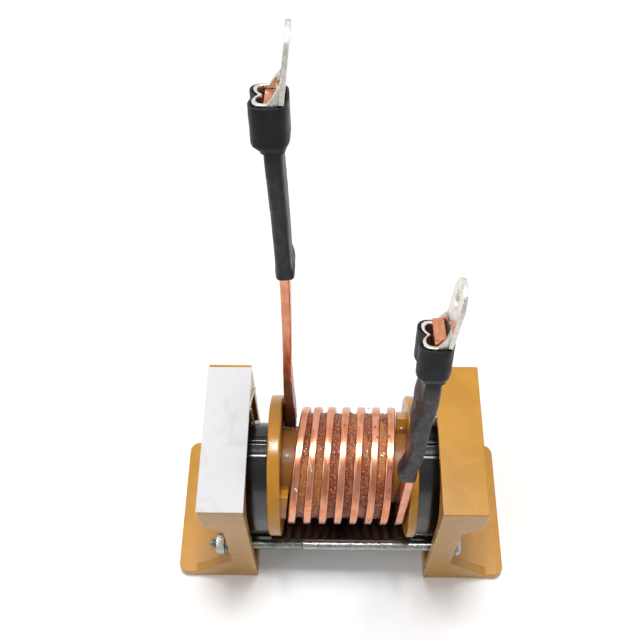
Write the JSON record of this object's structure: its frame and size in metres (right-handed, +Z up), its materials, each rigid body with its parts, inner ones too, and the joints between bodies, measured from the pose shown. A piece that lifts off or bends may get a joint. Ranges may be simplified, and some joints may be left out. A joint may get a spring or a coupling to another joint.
{
  "type": "ferrite core transformer",
  "caption": "High-current ferrite transformer: round-leg core clamped between moulded plastic brackets, edge-wound copper strip coil with upright leads and ring lugs.",
  "frame": {"origin": "on the ground under the middle of the core", "axes": "+Z up along the leads, +X along the coil towards the bracket with the bolt heads, front at -Y"},
  "size_m": [0.1334, 0.0576, 0.2414],
  "materials": {
    "amber_plastic": "moulded, half gloss",
    "black_ferrite": "black ferrite with a glossy coat",
    "copper": "bare copper strip, drawn, varnished in places",
    "varnish": "cured brown varnish",
    "sleeve_black": "satin heat-shrink sleeve",
    "tinned_copper": "tin plate on copper",
    "label_paper": "matt white paper label",
    "zinc_plate": "zinc plated steel",
    "spring_steel": "plain spring steel"
  },
  "bodies": {
    "root": {"bracket_left": "amber_plastic", "bracket_right": "amber_plastic", "core_half_left": "black_ferrite", "core_half_right": "black_ferrite", "bobbin": "amber_plastic", "winding": "copper", "turn_filler": "varnish", "lug_left": "tinned_copper", "lug_right": "tinned_copper", "lead_sleeve_left": "sleeve_black", "lead_sleeve_right": "sleeve_black", "barrel_sleeve_left": "sleeve_black", "barrel_sleeve_right": "sleeve_black", "tie_bolt_front": "zinc_plate", "tie_bolt_back": "zinc_plate", "flat_washer_left_front": "zinc_plate", "flat_washer_left_back": "zinc_plate", "flat_washer_right_front": "zinc_plate", "flat_washer_right_back": "zinc_plate", "spring_washer_front": "spring_steel", "spring_washer_back": "spring_steel", "nut_front": "zinc_plate", "nut_back": "zinc_plate", "label": "label_paper"}
  },
  "joints": []
}
